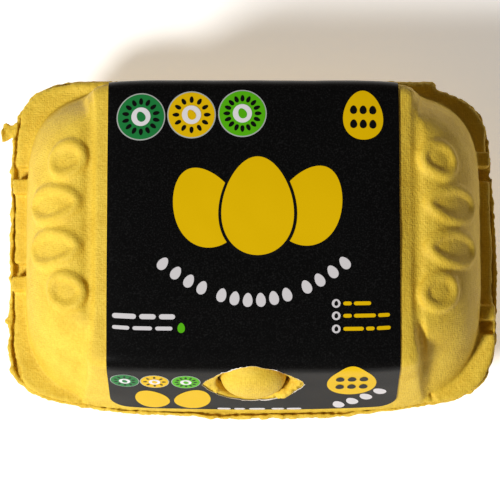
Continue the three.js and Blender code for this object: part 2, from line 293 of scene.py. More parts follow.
def block_section():
    """From the front foot over the top to the back foot."""
    crown = FOLD_HEIGHT + CROWN_RISE
    pull = (HEIGHT - crown) * 4 / 3
    front_wall = (FRONT_FOLD - 1, FOLD_HEIGHT - FRONT_ROUND)
    front_top = (FRONT_FOLD + FRONT_ROUND, crown)
    back_top = (BACK_FOLD - BACK_ROUND, crown)
    back_wall = (BACK_FOLD + 0.4, FOLD_HEIGHT - BACK_ROUND)
    return np.vstack([
        [(FRONT_FOOT, FLANGE_TOP)],
        bezier([(FRONT_FOOT, FLANGE_TOP), front_wall], 20),
        bezier([front_wall, (FRONT_FOLD, FOLD_HEIGHT), front_top], 12),
        bezier([front_top, (-13, crown + pull), (19, crown + pull), back_top], 60),
        bezier([back_top, (BACK_FOLD, FOLD_HEIGHT), back_wall], 12),
        bezier([back_wall, (BACK_FOOT, FLANGE_TOP)], 20),
    ])


SECTION = block_section()
SECTION_STEPS = np.hypot(*np.diff(SECTION, axis=0).T)
SECTION_PLACES = np.concatenate([[0], np.cumsum(SECTION_STEPS)])


def block_field(x, y, z):
    up = (z - FLANGE_TOP) / (HEIGHT - FLANGE_TOP)
    reach = BLOCK_HALF + BLOCK_SPREAD * (1 - up)
    share = np.abs(x) / reach
    shoulder = np.minimum(share, 1.15) ** SHOULDER_POWER
    rise = z - FLANGE_TOP
    front = FRONT_FOOT + FRONT_BOW * share ** 2 * (1 - up) + SHOULDER_IN * shoulder + FRONT_LEAN * rise - y
    back = y - BACK_FOOT + SHOULDER_IN * shoulder + BACK_LEAN * rise
    front = front / math.hypot(1, FRONT_LEAN)
    back = back / math.hypot(1, BACK_LEAN)
    on_top = SECTION[SECTION[:, 1] > FOLD_HEIGHT + 0.5]
    ends = [(FRONT_FOLD - 6, FOLD_HEIGHT - 0.8)], [(BACK_FOLD + 6, FOLD_HEIGHT - 0.8)]
    crown_line = np.vstack([ends[0], on_top, ends[1]])
    crown = np.interp(y, crown_line[:, 0], crown_line[:, 1]).astype(np.float32)
    top = z - crown + SHOULDER_DROP * shoulder * np.clip(up, 0, 1)
    sag = rising(x, SAG["x"], SAG["run"]) * np.exp(-((y - SAG["y"]) / SAG["reach"]) ** 2)
    top = top + SAG["depth"] * sag
    side = np.abs(x) - reach
    return common(common(common(front, side, 3.0), top, 2.8), back, 4.5)


def dome_size(up):
    """Half length, front and back of the domes at a height over the flange."""
    run = np.sqrt(np.maximum(1 - (up / DOME_RISE) ** 2, 0))
    half = DOME_HALF_TOP + (DOME_HALF_FOOT - DOME_HALF_TOP) * run
    return half, DOME_FRONT_FOOT - DOME_FRONT_SLOPE * up, DOME_BACK_FOOT - DOME_BACK_SLOPE * up


def dome_field(grid):
    up = np.clip(grid.z - FLANGE_TOP, 0, DOME_RISE)
    half, front, back = dome_size(up)
    in_front = superellipse(grid.x / half, grid.y / front, DOME_POWER)
    behind = superellipse(grid.x / half, grid.y / back, DOME_BACK_POWER)
    outline = np.where(grid.y < 0, in_front, behind) - 1
    return common(np.maximum(evened(outline, grid.step), -8), grid.z - FLANGE_TOP - DOME_RISE, 1.2)


def dome_point(side, angle, y):
    """Point of a dome's end face, by the angle of its profile and its place along Y."""
    half, front, back = dome_size(DOME_RISE * math.sin(angle))
    depth = front if y < 0 else back
    power = DOME_POWER if y < 0 else DOME_BACK_POWER
    x = half * (1 - abs(y / depth) ** power) ** (1 / power)
    return np.array([side * x, y, FLANGE_TOP + DOME_RISE * math.sin(angle)])


def egg_ring(side, place, low, high):
    """Line of a raised egg outline on a dome."""
    middle = (low + high) / 2
    reach = (high - low) / 2
    centre = EMBOSS_MIDDLE + side * place * EMBOSS_PITCH
    line = []
    for turn in np.linspace(0, 2 * math.pi, 29):
        width = EMBOSS_HALF_WIDTH * (1 - EMBOSS_TAPER * math.sin(turn))
        line.append(dome_point(side, middle + reach * math.sin(turn), centre + side * width * math.cos(turn)))
    return np.array(line)


def window_of(grid, low, high):
    """Part of a grid between two corners, as slices and as a grid of its own."""
    first = np.maximum(np.floor((np.array(low) - grid.low) / grid.step).astype(int), 0)
    last = np.minimum(np.ceil((np.array(high) - grid.low) / grid.step).astype(int) + 1, grid.shape)
    slices = tuple(slice(a, b) for a, b in zip(first, last))
    part = Grid.__new__(Grid)
    part.low = grid.low + first * grid.step
    part.step = grid.step
    part.x = grid.x[slices[0]]
    part.y = grid.y[:, slices[1]]
    part.z = grid.z[:, :, slices[2]]
    part.shape = tuple(last - first)
    return slices, part


def points_of(grid):
    return np.stack(np.broadcast_arrays(grid.x, grid.y, grid.z), axis=-1)


def flange_outline(x, y, inset):
    """Distance from the flange's outline in plan, negative inside."""
    drawn = rising(np.abs(x), *FRONT_CORNERS_RUN)
    drawn = FRONT_CORNERS_IN * drawn * drawn * (3 - 2 * drawn)
    half = np.where(y < 0, (HALF_WIDTH - inset) * (1 - drawn), FLANGE_BACK - inset)
    outline = superellipse(x / (HALF_LENGTH - inset), y / half, FLANGE_POWER)
    radius = np.sqrt(x * x + y * y)
    return radius * (1 - 1 / np.maximum(outline, 1e-3))


def swell(x, y, middle, reach):
    """One at a place in plan, falling to nothing around it."""
    return np.exp(-((x - middle[0]) ** 2 + (y - middle[1]) ** 2) / (2 * reach ** 2))


def flange_wander(x, y):
    """How far the moulded edge runs outside its even outline."""
    wander = 0
    for middle, reach, size in WANDER:
        wander = wander + size * swell(x, y, middle, reach)
    for nib, size in NIBS:
        wander = wander + size * swell(x, y, nib, NIB_REACH)
    return wander


def flange_edge(grid, inset, seed, torn):
    """Distance from a flange's edge, more or less torn."""
    outline = flange_outline(grid.x, grid.y, inset) - flange_wander(grid.x, grid.y)
    points = points_of(grid)
    rough = 0.3 * noise(points, 3.1, seed + 1) + 0.35 * noise(points, 1.3, seed + 2)
    return outline + 0.3 + 0.4 * noise(points, 11, seed) + torn * rough


def plate_field(grid, edge, bottom, top, blend):
    """Flange plate inside an edge."""
    middle = (top + bottom) / 2
    slab = np.abs(grid.z - middle) - (top - bottom) / 2
    return common(edge, slab, blend)


def smooth_corners(x, y):
    """One at the four corners, where the lid's edge reaches the tray's."""
    right = np.maximum(rising(-y, *CORNER_RIGHT_FRONT), rising(y, *CORNER_RIGHT_BACK))
    left = rising(np.abs(y), *CORNER_LEFT)
    return np.maximum(rising(x, *CORNER_ALONG) * right, rising(-x, *CORNER_ALONG) * left)


def furrow_field(grid, edge):
    """Furrow of the tray's flange inside its lip, deepest in front of the latch and on the left."""
    front = np.exp(-(grid.x / 40) ** 4) * rising(-grid.y, 30, 10)
    left = rising(-grid.x, 65, 5) * np.exp(-(grid.y / 34) ** 4)
    depth = FURROW_DEPTH * np.maximum(front, left)
    across = np.abs(edge + LIP_WIDTH + FURROW_WIDTH / 2) - FURROW_WIDTH / 2
    return common(across, TRAY_TOP - depth - grid.z, 0.3)


def lip_field(grid, edge):
    """Ragged lip that stands up along the edge of the tray, except behind."""
    points = points_of(grid)
    rise = LIP_RISE * (1 + 0.7 * rising(-grid.x, 39, 30))
    height = rise * (1 + 0.6 * noise(points, 5, 24)) + 0.3 * noise(points, 1.5, 25)
    top = TRAY_TOP + height * (1 - smooth_corners(grid.x, grid.y))
    side = np.maximum(edge, -edge - LIP_WIDTH)
    slab = np.maximum(grid.z - top, TRAY_TOP - 1 - grid.z)
    return common(common(side, slab, 0.4), grid.y - LIP_BACK, 1.0)


def hinge_field(grid):
    """Round bar along the back, where lid and tray hang together."""
    along = np.maximum(np.abs(grid.x) - HINGE_HALF + HINGE_RADIUS, 0)
    beside = grid.y - HALF_WIDTH + HINGE_RADIUS
    above = grid.z - (LID_BOTTOM + TRAY_TOP) / 2
    return np.sqrt(along ** 2 + beside ** 2 + above ** 2) - HINGE_RADIUS


def box_field(grid, centre, size, blend):
    faces = [np.abs(axis - c) - s / 2 for axis, c, s in zip((grid.x, grid.y, grid.z), centre, size)]
    return common(common(faces[0], faces[1], blend), faces[2], blend)


def on_front_wall(grid):
    """Coordinates on the front wall: across, up the wall from the window's middle, and out of it."""
    scale = math.hypot(1, FRONT_LEAN)
    foot = FRONT_FOOT + (LATCH_HEIGHT - FLANGE_TOP) * FRONT_LEAN
    dy = grid.y - foot
    dz = grid.z - LATCH_HEIGHT
    upward = (dy * FRONT_LEAN + dz) / scale
    outward = (dz * FRONT_LEAN - dy) / scale
    return grid.x, upward, outward


def button_field(grid, grow):
    across, upward, outward = on_front_wall(grid)
    depth = TONGUE_DEPTH + 0.8
    radius = BUTTON_RADIUS + grow
    tall = BUTTON_RISE + depth + grow
    outward = outward + depth
    wide = np.sqrt(across ** 2 + upward ** 2) / radius
    reach = superellipse(wide, outward / tall, BUTTON_POWER)
    return np.maximum((reach - 1) * tall, -outward)


def tongue_field(grid, grow, foot):
    across, upward, outward = on_front_wall(grid)
    top = WINDOW_HALF[1] - 1.5 + grow
    middle = (top - foot) / 2
    slab = np.abs(outward + TONGUE_DEPTH + TONGUE_THICKNESS / 2) - TONGUE_THICKNESS / 2 - grow
    side = np.abs(across) - TONGUE_HALF - grow
    ends = np.abs(upward - middle) - (top + foot) / 2
    return common(common(slab, side, 0.8), ends, 0.8)


def ball_on_wall(grid, ball):
    across, upward, outward = on_front_wall(grid)
    return np.sqrt((across - ball[0]) ** 2 + (upward - ball[1]) ** 2 + (outward - ball[2]) ** 2) - ball[3]


def lens_field(grid):
    across, upward, outward = on_front_wall(grid)
    reach = np.sqrt((across / WINDOW_HALF[0]) ** 2 + (upward / WINDOW_HALF[1]) ** 2)
    return np.maximum((reach - 1) * WINDOW_HALF[1], -outward - WINDOW_DEPTH)


def groove_line(side):
    """Middle of the bar that cuts the groove between block and dome."""
    top = FLANGE_TOP + DOME_RISE + GROOVE_RADIUS - GROOVE_DEPTH
    lift = FRONT_GROOVE_LIFT
    return smooth_line([
        (side * (GROOVE_X + 5.4), -48 - lift, 37),
        (side * (GROOVE_X + 3.4), -41 - lift, 49 + lift),
        (side * (GROOVE_X + 1.8), -35 - lift, 59 + lift),
        (side * (GROOVE_X + 0.6), -28.5, top - 2.6 + lift),
        (side * GROOVE_X, -20, top),
        (side * GROOVE_X, 5, top + 0.4),
        (side * GROOVE_X, 31, top),
        (side * (GROOVE_X + 0.8), 42, top - 2.4),
        (side * (GROOVE_X + 2.4), 49, 54),
        (side * (GROOVE_X + 4), 55, 40),
    ], 3)


def add_groove(grid, values, side):
    ends = sorted((side * (GROOVE_X - 8), side * (GROOVE_X + 12)))
    slices, part = window_of(grid, (ends[0], -60, 36), (ends[1], 60, 80))
    bar = tube_distance(part.x, part.y, part.z, groove_line(side)) - GROOVE_RADIUS
    values[slices] = cut(values[slices], bar, 1.0)
    if side > 0:
        line = smooth_line(VALLEY, 4)
        slices, part = window_of(grid, line.min(0) - 4, line.max(0) + 4)
        valley = tube_distance(part.x, part.y, part.z, line) - VALLEY_RADIUS
        values[slices] = cut(values[slices], valley, 0.7)


def notch_place(side, y):
    """Middle of the notch beside a lug, on the tray's flange."""
    return np.array([side * (LUG_X - 0.2), y - side * (LUG_SIZE[1] + SLOT_SIZE[1]) / 2, TRAY_TOP])


def add_damage(grid, values):
    """Cracks across the front of the lid's flange, and a tear in its left edge."""
    for start, end in CRACKS:
        line = np.array([(*start, FLANGE_TOP), (*end, FLANGE_TOP - 0.2)])
        slices, part = window_of(grid, line.min(0) - 2, line.max(0) + 2)
        wavy = part.x + 0.5 * noise(points_of(part), 2.2, 51)
        crack = tube_distance(wavy, part.y, part.z, line) - 0.55
        values[slices] = cut(values[slices], crack, 0.4)
    place = np.array([*TEAR, FLANGE_TOP])
    slices, part = window_of(grid, place - 5, place + 5)
    across = np.sqrt(((part.x - place[0]) / 0.9) ** 2 + ((part.y - place[1]) / 2.3) ** 2)
    values[slices] = cut(values[slices], (across - 1) * 0.9, 0.4)


def add_rings(grid, values, side):
    for place in (-1.5, -0.5, 0.5, 1.5):
        low, high = (0.62, 1.4) if abs(place) < 1 else (0.98, 1.46)
        line = egg_ring(side, place, low, high)
        inward = np.array([side * math.cos(EMBOSS_ANGLE), 0, math.sin(EMBOSS_ANGLE)]) * EMBOSS_SUNK
        slices, part = window_of(grid, line.min(0) - 4, line.max(0) + 4)
        tube = tube_distance(part.x, part.y, part.z, line - inward) - EMBOSS_TUBE
        values[slices] = union(values[slices], tube, 1.3)


def lid_field():
    low = (-HALF_LENGTH - 3, -HALF_WIDTH - 3, LID_BOTTOM - 1.25)
    grid = Grid(low, (HALF_LENGTH + 3, HALF_WIDTH + 3, HEIGHT + 1.5), LID_STEP)
    body = union(block_field(grid.x, grid.y, grid.z), dome_field(grid), 1.2)
    for side in (-1, 1):
        add_groove(grid, body, side)
        add_rings(grid, body, side)
    shell = body.copy()
    body = np.maximum(body, LID_BOTTOM - grid.z)
    slices, part = window_of(grid, (-90, -90, LID_BOTTOM - 2), (90, 90, FLANGE_TOP + 4))
    corner = smooth_corners(part.x, part.y)
    edge = flange_edge(part, LIP, 11, 0.4) - CORNER_OUT * corner
    edge = edge + FRONT_INSET * (1 - corner) * rising(-part.y, 30, 15)
    plate = union(plate_field(part, edge, LID_BOTTOM, FLANGE_TOP, 1.7), hinge_field(part), 0.8)
    body[slices] = union(body[slices], plate, 0.9)
    for side, y in LUG_PLACES:
        out = flange_wander(side * LUG_X, y)
        centre = np.array([side * (LUG_X + out), y, FLANGE_TOP + LUG_SIZE[2] - 2])
        slices, part = window_of(grid, centre - 8, centre + 8)
        lug = box_field(part, centre, (LUG_SIZE[0], LUG_SIZE[1], 4), 0.8)
        body[slices] = union(body[slices], lug, 0.8)
        hole = box_field(part, notch_place(side, y), (SLOT_SIZE[0], SLOT_SIZE[1], 15), 0.8)
        body[slices] = cut(body[slices], hole, 0.7)
    add_damage(grid, body)
    slices, part = window_of(grid, (-18, -56, 34), (18, -20, 74))
    front = cut(body[slices], lens_field(part), 0.7)
    front = cut(front, tongue_field(part, LATCH_CLEARANCE, 30), 0.4)
    front = cut(front, button_field(part, LATCH_CLEARANCE), 0.5)
    rough = noise(points_of(part), 1.1, 91)
    for lump in LUMPS:
        front = union(front, ball_on_wall(part, lump) + 0.5 * rough, 0.5)
    body[slices] = cut(front, ball_on_wall(part, PIT), 0.3)
    return grid, np.maximum(body, LID_BOTTOM - grid.z), shell


def cups_field():
    """The tray below its flange."""
    grid = Grid((-74, -52, -1.4), (74, 52, TRAY_TOP + 1.5), CUPS_STEP)
    share = np.interp(grid.z, CUP_HEIGHTS, CUP_SHARES).astype(np.float32)
    radius = CUP_RIM * share
    body = None
    for column in (0, CUP_PITCH[0]):
        across = (np.abs(grid.x) - column) / radius
        along = (np.abs(grid.y) - CUP_PITCH[1] / 2) / radius
        cup = (superellipse(across, along, CUP_POWER) - 1) * radius
        body = cup if body is None else union(body, cup, 3.0)
    web_half = 58 + 6 * rising(grid.z, WEB_BOTTOM, TRAY_TOP - WEB_BOTTOM)
    web_deep = web_half - 26
    web = superellipse(grid.x / web_half, grid.y / web_deep, WEB_POWER) - 1
    web = common(web * web_deep, WEB_BOTTOM - grid.z, 2.5)
    body = union(body, web, 4.0)
    for column in (-0.5, 0.5):
        reach = np.sqrt((grid.x - column * CUP_PITCH[0]) ** 2 + grid.y ** 2)
        narrowing = HOLLOW_DRAFT * (grid.z + 1) / (HOLLOW_TOP + 1)
        cone = np.maximum(reach - HOLLOW_FOOT + narrowing, grid.z - HOLLOW_TOP)
        body = cut(body, cone, 2.0)
    body = common(body, grid.z - TRAY_TOP + 0.5, 0.5)
    return grid, common(body, -grid.z, 1.2)


def rim_field():
    """The tray's flange, a ring over the cups, with the hinge and the torn tab at its left end."""
    low = (-HALF_LENGTH - 6, -HALF_WIDTH - 3, TRAY_TOP - 5)
    grid = Grid(low, (HALF_LENGTH + 3, HALF_WIDTH + 3, TRAY_TOP + 3), RIM_STEP)
    bead = common(hinge_field(grid), grid.z - TRAY_TOP, 0.3)
    edge = flange_edge(grid, 0, 23, 1)
    plate = union(plate_field(grid, edge, TRAY_TOP - FLANGE_THICKNESS, TRAY_TOP, 0.7), bead, 0.8)
    plate = cut(plate, furrow_field(grid, edge), 0.4)
    plate = union(plate, lip_field(grid, edge), 0.4)
    plate = cut(plate, common(np.abs(grid.x) - RING_INSIDE[0], np.abs(grid.y) - RING_INSIDE[1], 0.5), 0.2)
    for side, y in LUG_PLACES:
        pit = box_field(grid, notch_place(side, y), (SLOT_SIZE[0], SLOT_SIZE[1], 2 * PIT_DEPTH), 0.6)
        plate = cut(plate, pit, 0.5)
    slices, part = window_of(grid, (-84, TAB["y"] - 6, TRAY_TOP - 5), (-72, TAB["y"] + 6, TRAY_TOP + 1.5))
    out = TAB["from"] - part.x
    bent = TRAY_TOP - 0.7 - 0.6 * out + 0.16 * out ** 2
    half = TAB["half"] + 0.3 * out
    tab = np.maximum(np.abs(part.z - bent) - 0.55, np.abs(part.y - TAB["y"] + 0.3 * out) - half)
    tab = np.maximum(tab, np.abs(out - 1) - TAB["reach"] + 1) + 0.45 * noise(points_of(part), 1.5, 61)
    plate[slices] = union(plate[slices], tab, 0.6)
    return grid, plate


def latch_field():
    """The tray's tongue and its domed button."""
    grid = Grid((-14, -58, 30), (14, -20, 74), LATCH_STEP)
    return grid, union(tongue_field(grid, 0, 23), button_field(grid, 0), 1.0)


def sample(grid, values, points):
    """Field at points, between the grid's own by trilinear steps."""
    scaled = (points - grid.low) / grid.step
    top = np.array(values.shape) - 2
    base = np.clip(np.floor(scaled).astype(int), 0, top)
    part = np.clip(scaled - base, 0, 1)
    total = np.zeros(len(points))
    for corner in np.ndindex(2, 2, 2):
        index = base + corner
        total += corner_share(part, corner) * values[index[:, 0], index[:, 1], index[:, 2]]
    return total


def slope_at(grid, values, points):
    """Direction and steepness in which the field grows."""
    reach = grid.step
    parts = []
    for axis in range(3):
        offset = np.zeros(3)
        offset[axis] = reach
        rise = sample(grid, values, points + offset) - sample(grid, values, points - offset)
        parts.append(rise / (2 * reach))
    slope = np.stack(parts, axis=1)
    steepness = np.linalg.norm(slope, axis=1, keepdims=True)
    return slope / np.maximum(steepness, 1e-6), steepness[:, 0]


def surface_net(grid, values):
    """Vertices and quads where a field crosses zero, facing its positive side."""
    inside = values < 0
    shape = np.array(values.shape)
    count = np.zeros(tuple(shape - 1), np.uint8)
    corners = list(np.ndindex(2, 2, 2))
    for i, j, k in corners:
        count += inside[i:shape[0] - 1 + i, j:shape[1] - 1 + j, k:shape[2] - 1 + k]
    crossed = (count > 0) & (count < 8)
    cells = np.argwhere(crossed)
    number = np.full(count.shape, -1, np.int32)
    number[crossed] = np.arange(len(cells))
    total = np.zeros((len(cells), 3))
    hits = np.zeros(len(cells))
    for start in corners:
        for axis in range(3):
            if start[axis]:
                continue
            end = list(start)
            end[axis] = 1
            a = values[tuple((cells + start).T)]
            b = values[tuple((cells + end).T)]
            crossing = (a < 0) != (b < 0)
            share = np.where(crossing, a / np.where(crossing, a - b, 1), 0)
            spot = np.array(start, float) + share[:, None] * np.eye(3)[axis]
            total += spot * crossing[:, None]
            hits += crossing
    vertices = grid.low + grid.step * (cells + total / hits[:, None])
    quads = []
    for axis in range(3):
        u, v = (axis + 1) % 3, (axis + 2) % 3
        here = np.moveaxis(inside, (axis, u, v), (0, 1, 2))
        cell = np.moveaxis(number, (axis, u, v), (0, 1, 2))
        changed = here[:-1, 1:-1, 1:-1] != here[1:, 1:-1, 1:-1]
        p, q, r = np.nonzero(changed)
        outward = here[:-1, 1:-1, 1:-1][changed]
        ring = np.stack([cell[p, q, r], cell[p, q + 1, r], cell[p, q + 1, r + 1], cell[p, q, r + 1]], axis=1)
        quads.append(np.where(outward[:, None], ring, ring[:, ::-1]))
    return vertices, np.vstack(quads)


def settle(grid, values, points, target, rounds):
    """Moves points along the field's slope to where it has a value."""
    for _ in range(rounds):
        direction, steepness = slope_at(grid, values, points)
        move = (target - sample(grid, values, points)) / np.maximum(steepness, 0.3)
        points = points + direction * np.clip(move, -grid.step, grid.step)[:, None]
    return points


def added(name, data):
    """An object of a mesh, light or camera, in the scene."""
    made = bpy.data.objects.new(name, data)
    bpy.context.scene.collection.objects.link(made)
    return made


def mesh_object(name, vertices, faces, material):
    """Mesh object from millimetre vertices and faces of one size."""
    vertices = np.asarray(vertices, float) * MM
    faces = np.asarray(faces, int)
    mesh = bpy.data.meshes.new(name)
    mesh.vertices.add(len(vertices))
    mesh.vertices.foreach_set("co", vertices.astype(np.float32).ravel())
    mesh.loops.add(faces.size)
    mesh.loops.foreach_set("vertex_index", faces.astype(np.int32).ravel())
    mesh.polygons.add(len(faces))
    mesh.polygons.foreach_set("loop_start", np.arange(0, faces.size, faces.shape[1], dtype=np.int32))
    mesh.polygons.foreach_set("use_smooth", np.full(len(faces), True))
    mesh.update(calc_edges=True)
    mesh.validate()
    mesh.materials.append(material)
    return added(name, mesh)


def pulp_relief(points):
    """Height of the pulp's lumps over its plain form, roughest at the torn edge of the flanges."""
    relief = 0.10 * noise(points, 9, 31) + 0.07 * noise(points, 3.5, 32) + 0.05 * noise(points, 1.4, 33)
    edge = np.clip(flange_outline(points[:, 0], points[:, 1], LIP) / 1.5 + 1, 0, 1)
    return relief + 0.22 * edge * noise(points, 0.9, 34)


def pulp_piece(name, fields, material):
    """One piece from the surfaces of one or more fields."""
    spots, faces, count = [], [], 0
    for grid, values in fields:
        vertices, quads = surface_net(grid, values)
        vertices = settle(grid, values, vertices, 0, 2)
        direction, _ = slope_at(grid, values, vertices)
        vertices = vertices + direction * pulp_relief(vertices)[:, None]
        vertices[:, 2] = np.maximum(vertices[:, 2], FOOT_CLEARANCE)
        spots.append(vertices)
        faces.append(quads + count)
        count += len(vertices)
    piece = mesh_object(name, np.vstack(spots), np.vstack(faces), material)
    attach(piece, "root")
    return piece


# Materials
PULP_DARK = (217, 177, 46)
PULP_PALE = (242, 208, 72)
PAPER_DARK = (11, 11, 11)
PAPER_PALE = (34, 34, 34)
WEAVE_SCALE = 560


def new_material(name):
    material = bpy.data.materials.new(name)
    material.use_nodes = True
    return material, material.node_tree, material.node_tree.nodes["Principled BSDF"]


def set_inputs(node, values):
    for name, value in values.items():
        node.inputs[name].default_value = value


def two_tone(tree, factor, low, high, socket):
    """Colours a socket between two tones, each with its place on a ramp."""
    ramp = tree.nodes.new("ShaderNodeValToRGB")
    for element, (position, colour) in zip(ramp.color_ramp.elements, (low, high)):
        element.position = position
        element.color = colour
    tree.links.new(factor, ramp.inputs["Fac"])
    tree.links.new(ramp.outputs["Color"], socket)


def rgb(red, green, blue):
    """Linear colour, with alpha, from sRGB values up to 255."""
    def linear(value):
        value = value / 255
        return value / 12.92 if value <= 0.04045 else ((value + 0.055) / 1.055) ** 2.4
    return (linear(red), linear(green), linear(blue), 1)


def pulp_material():
    """Yellow pulp with mottling, specks and the weave of the mould's wire screen."""
    material, tree, shader = new_material("pulp")
    nodes, links = tree.nodes, tree.links
    coordinates = nodes.new("ShaderNodeTexCoord").outputs["Object"]

    def texture(kind, **settings):
        made = nodes.new(kind)
        set_inputs(made, settings)
        links.new(coordinates, made.inputs["Vector"])
        return made

    def mixed(first, second, share):
        made = nodes.new("ShaderNodeMix")
        set_inputs(made, {"Factor": share})
        links.new(first, made.inputs["A"])
        links.new(second, made.inputs["B"])
        return made.outputs["Result"]

    weave = []
    for direction in ("X", "Y"):
        wave = texture("ShaderNodeTexWave", Scale=WEAVE_SCALE, Distortion=4.0, Detail=2.0)
        wave.bands_direction = direction
        weave.append(wave.outputs["Fac"])
    screen = mixed(weave[0], weave[1], 0.5)
    mottling = texture("ShaderNodeTexNoise", Scale=150, Detail=5).outputs["Fac"]
    specks = texture("ShaderNodeTexNoise", Scale=1300, Detail=2).outputs["Fac"]

    tone = mixed(mixed(mottling, specks, 0.5), screen, 0.09)
    two_tone(tree, tone, (0.3, rgb(*PULP_DARK)), (0.66, rgb(*PULP_PALE)), shader.inputs["Base Color"])
    set_inputs(shader, {"Roughness": 0.62, "Specular IOR Level": 0.28})
    bump = nodes.new("ShaderNodeBump")
    set_inputs(bump, {"Strength": 0.75, "Distance": 0.00035})
    links.new(mixed(specks, screen, 0.2), bump.inputs["Height"])
    links.new(bump.outputs["Normal"], shader.inputs["Normal"])
    return material


def paper_material():
    """Black printed paper with a faint grain."""
    material, tree, shader = new_material("label_paper")
    grain = tree.nodes.new("ShaderNodeTexNoise")
    set_inputs(grain, {"Scale": 2200, "Detail": 3})
    tree.links.new(tree.nodes.new("ShaderNodeTexCoord").outputs["Object"], grain.inputs["Vector"])
    low, high = (0.5, rgb(*PAPER_DARK)), (0.8, rgb(*PAPER_PALE))
    two_tone(tree, grain.outputs["Fac"], low, high, shader.inputs["Base Color"])
    set_inputs(shader, {"Roughness": 0.27, "Specular IOR Level": 0.08})
    return material


def ink_material(name, colour, roughness=0.4):
    material, _, shader = new_material(name)
    set_inputs(shader, {"Base Color": rgb(*colour), "Roughness": roughness, "Specular IOR Level": 0.12})
    return material


# Label
LABEL_HALF = 44
LABEL_GAP = 0.15
LABEL_THICKNESS = 0.2
LABEL_ABOVE_FOOT = 2
LABEL_CORNER = 6
LABEL_SPACING = 1.1
LABEL_SHARP = 50
WINDOW_CUT = (15.6, 11.1)
WINDOW_PULL = 0.62
PRINT_LIFT = 0.05
PRINT_SPACING = 1.2
LATCH_PLACE = (LATCH_HEIGHT - FLANGE_TOP) * math.hypot(1, FRONT_LEAN)


def over_block(x, place):
    """Points on the block, from X and the distance along its section."""
    y = np.interp(place, SECTION_PLACES, SECTION[:, 0])
    z = np.interp(place, SECTION_PLACES, SECTION[:, 1])
    up = (z - FLANGE_TOP) / (HEIGHT - FLANGE_TOP)
    share = x / (BLOCK_HALF + BLOCK_SPREAD * (1 - up))
    shoulder = np.abs(share) ** SHOULDER_POWER
    bow = np.where(y < 0, FRONT_BOW * share ** 2 * (1 - up), 0)
    y = y + bow - np.clip(y / ROUND_FROM, -1, 1) * SHOULDER_IN * shoulder
    return np.stack([x, y, z - SHOULDER_DROP * shoulder * up], axis=-1)


def place_at(y):
    """Distance along the section, seen from above at a Y."""
    return np.interp(y, SECTION[:, 0], SECTION_PLACES)


def on_label(surface, flat, lift):
    """Points over the lid's shell where the label lies, from X and place along the section."""
    grid, values = surface
    settled = settle(grid, values, over_block(flat[:, 0], flat[:, 1]), LABEL_GAP, 4)
    direction, _ = slope_at(grid, values, settled)
    waves = 0.12 * noise(settled, 17, 71) + 0.05 * noise(settled, 6, 72)
    return settled + direction * (0.1 + waves + lift)[:, None]


def inside(points, outline):
    """Which points lie in a closed outline."""
    x, y = points[:, 0, None], points[:, 1, None]
    x0, y0 = outline.T
    x1, y1 = np.roll(outline, -1, axis=0).T
    spans = (y0 > y) != (y1 > y)
    reach = x0 + (y - y0) * (x1 - x0) / np.where(y1 == y0, 1, y1 - y0)
    return (spans & (x < reach)).sum(axis=1) % 2 == 1


def filled(outlines, spacing):
    """Triangles between an outline and the holes that follow it, with points at even steps."""
    outer = outlines[0]
    low, high = outer.min(0), outer.max(0)
    counts = np.maximum(np.ceil((high - low) / spacing).astype(int), 1)
    steps = [np.linspace(low[i], high[i], counts[i] + 1)[1:-1] for i in range(2)]
    lattice = np.stack(np.meshgrid(*steps), axis=-1).reshape(-1, 2)
    kept = inside(lattice, outer)
    for hole in outlines[1:]:
        kept &= ~inside(lattice, hole)
    for outline in outlines:
        gaps = np.hypot(*(lattice[:, None, :] - outline[None, :, :]).transpose(2, 0, 1)).min(axis=1)
        kept &= gaps > 0.35 * spacing
    points = np.vstack([*outlines, lattice[kept]])
    edges, start = [], 0
    for outline in outlines:
        count = len(outline)
        edges += [(start + i, start + (i + 1) % count) for i in range(count)]
        start += count
    made = delaunay_2d_cdt([Vector(point) for point in points.tolist()], edges, [], 0, 1e-6)
    points = np.array([tuple(point) for point in made[0]])
    faces = np.array(made[2])
    middles = points[faces].mean(axis=1)
    kept = inside(middles, outer)
    for hole in outlines[1:]:
        kept &= ~inside(middles, hole)
    return points, faces[kept]


def label_outline():
    """The label laid flat: X, and the place along the section, with round corners at the front."""
    low, high = LABEL_ABOVE_FOOT, SECTION_PLACES[-1] - LABEL_ABOVE_FOOT
    turns = np.linspace(0, math.pi / 2, 9)
    corner = np.stack([np.sin(turns), 1 - np.cos(turns)], axis=1) * LABEL_CORNER
    flat = LABEL_HALF - LABEL_CORNER
    front = np.stack([np.linspace(-flat, flat, 70), np.full(70, low)], axis=1)
    right = corner + (flat, low)
    side = np.linspace(low + LABEL_CORNER, high, 120)[1:]
    right_side = np.stack([np.full(len(side), LABEL_HALF), side], axis=1)
    back = np.stack([np.linspace(LABEL_HALF, -LABEL_HALF, 80), np.full(80, high)], axis=1)[1:]
    left_side = right_side[::-1][1:] * (-1, 1)
    left = (corner + (flat, low))[::-1] * (-1, 1)
    return np.vstack([front, right[1:], right_side, back, left_side, left[:-1]])


def window_outline(grow, ragged):
    """The torn window of the label, pointed at both ends."""
    half, tall = WINDOW_CUT[0] + grow, WINDOW_CUT[1] + grow
    side, bulge = WINDOW_PULL * half, tall * 4 / 3
    upper = bezier([(half, 0), (side, bulge), (-side, bulge), (-half, 0)], 60)
    lower = bezier([(-half, 0), (-side, -bulge), (side, -bulge), (half, 0)], 60)
    line = np.vstack([upper, lower])
    spots = np.column_stack([line, np.zeros(len(line))])
    rough = ragged * (noise(spots, 2.4, 81) + 0.7 * noise(spots, 0.9, 82))
    out = line / np.hypot(*line.T)[:, None]
    return line + out * rough[:, None] + (0, LATCH_PLACE)


